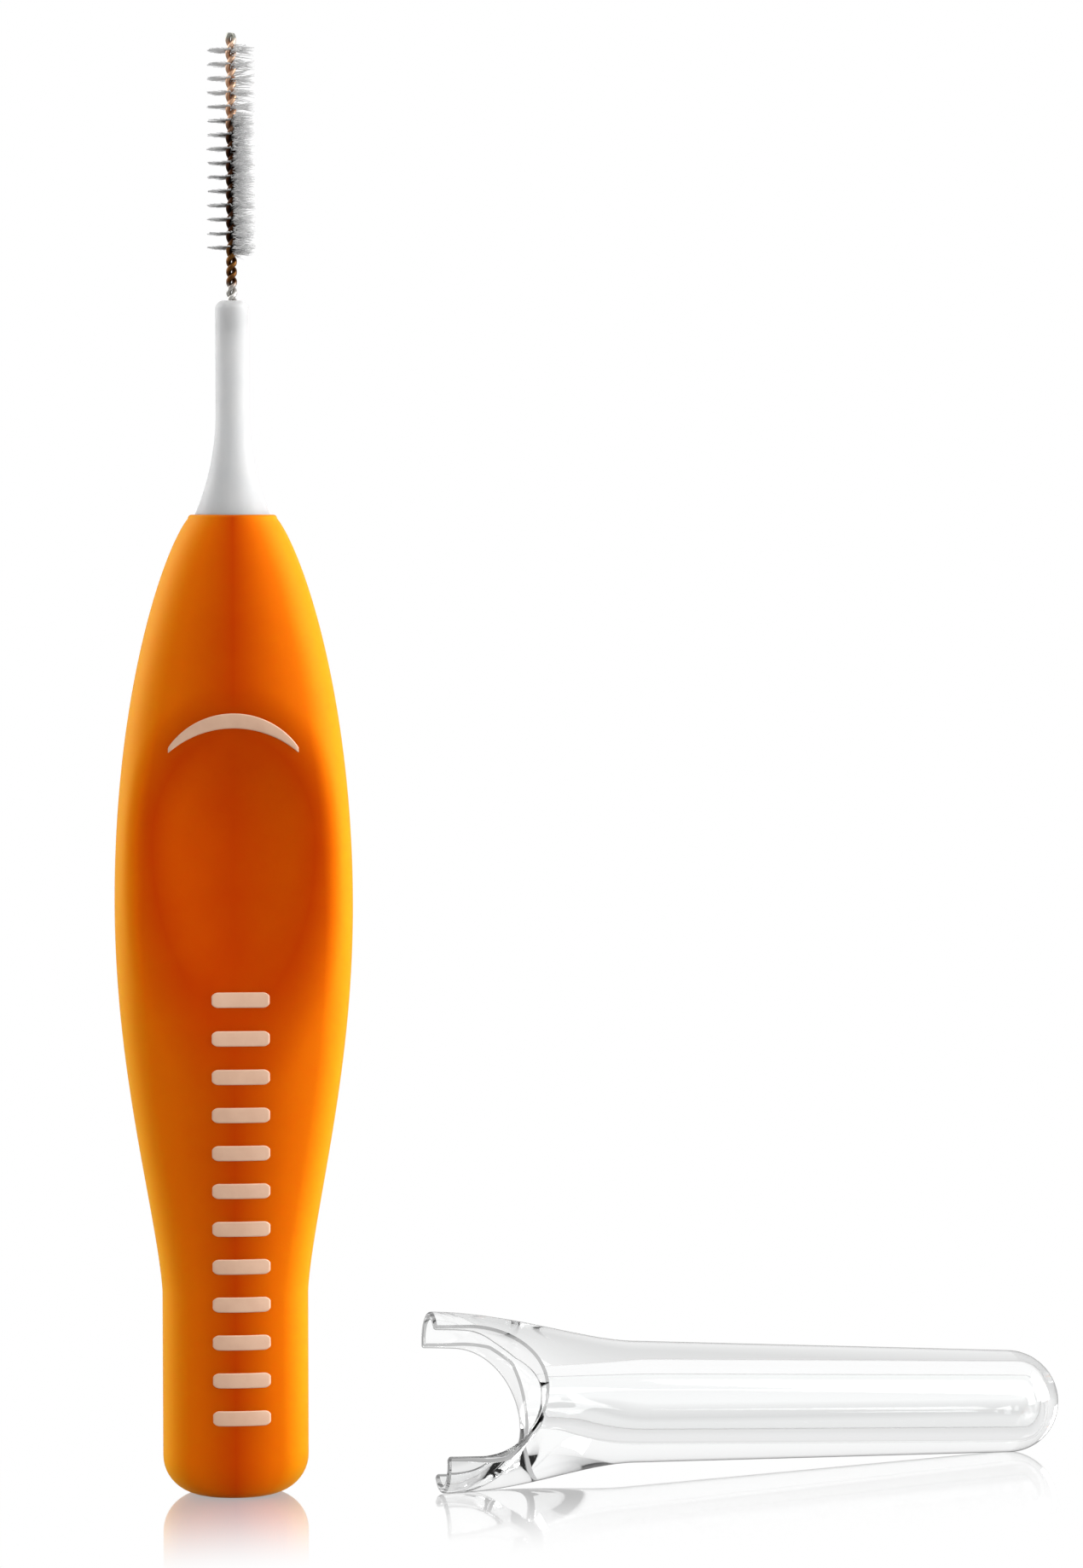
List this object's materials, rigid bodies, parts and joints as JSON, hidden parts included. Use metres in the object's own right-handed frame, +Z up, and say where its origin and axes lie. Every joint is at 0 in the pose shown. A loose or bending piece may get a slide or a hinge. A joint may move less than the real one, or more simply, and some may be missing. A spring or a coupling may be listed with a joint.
{
  "type": "interdental brush",
  "caption": "Standing interdental brush with a flat bullet handle, a thumb hollow, a white neck, nylon filaments twisted into a steel wire, and a clear flared cap lying beside it.",
  "frame": {"origin": "middle of the foot, in the plane on which the brush stands", "axes": "+Z up along the brush, front of the grip towards -Y, the cap lies towards +X"},
  "size_m": [0.0476, 0.0128, 0.0708],
  "materials": {
    "grip": "satin soft-touch overmould",
    "neck": "gloss white",
    "wire": "drawn wire",
    "filament": "translucent nylon",
    "cap": "clear, polished"
  },
  "bodies": {
    "brush": {"grip": "grip", "neck_core": "neck", "stem_wire": "wire", "filaments_turn_1": "filament", "filaments_turn_2": "filament", "filaments_turn_3": "filament", "filaments_turn_4": "filament", "filaments_turn_5": "filament", "filaments_turn_6": "filament", "filaments_turn_7": "filament", "filaments_turn_8": "filament"},
    "cap": {"cap": "cap"}
  },
  "joints": [
    {"name": "cap_slide", "type": "slide", "parent": "brush", "child": "cap", "axis": [0.9745, 0.2243, 0], "range_m": [0, 0.03]}
  ]
}
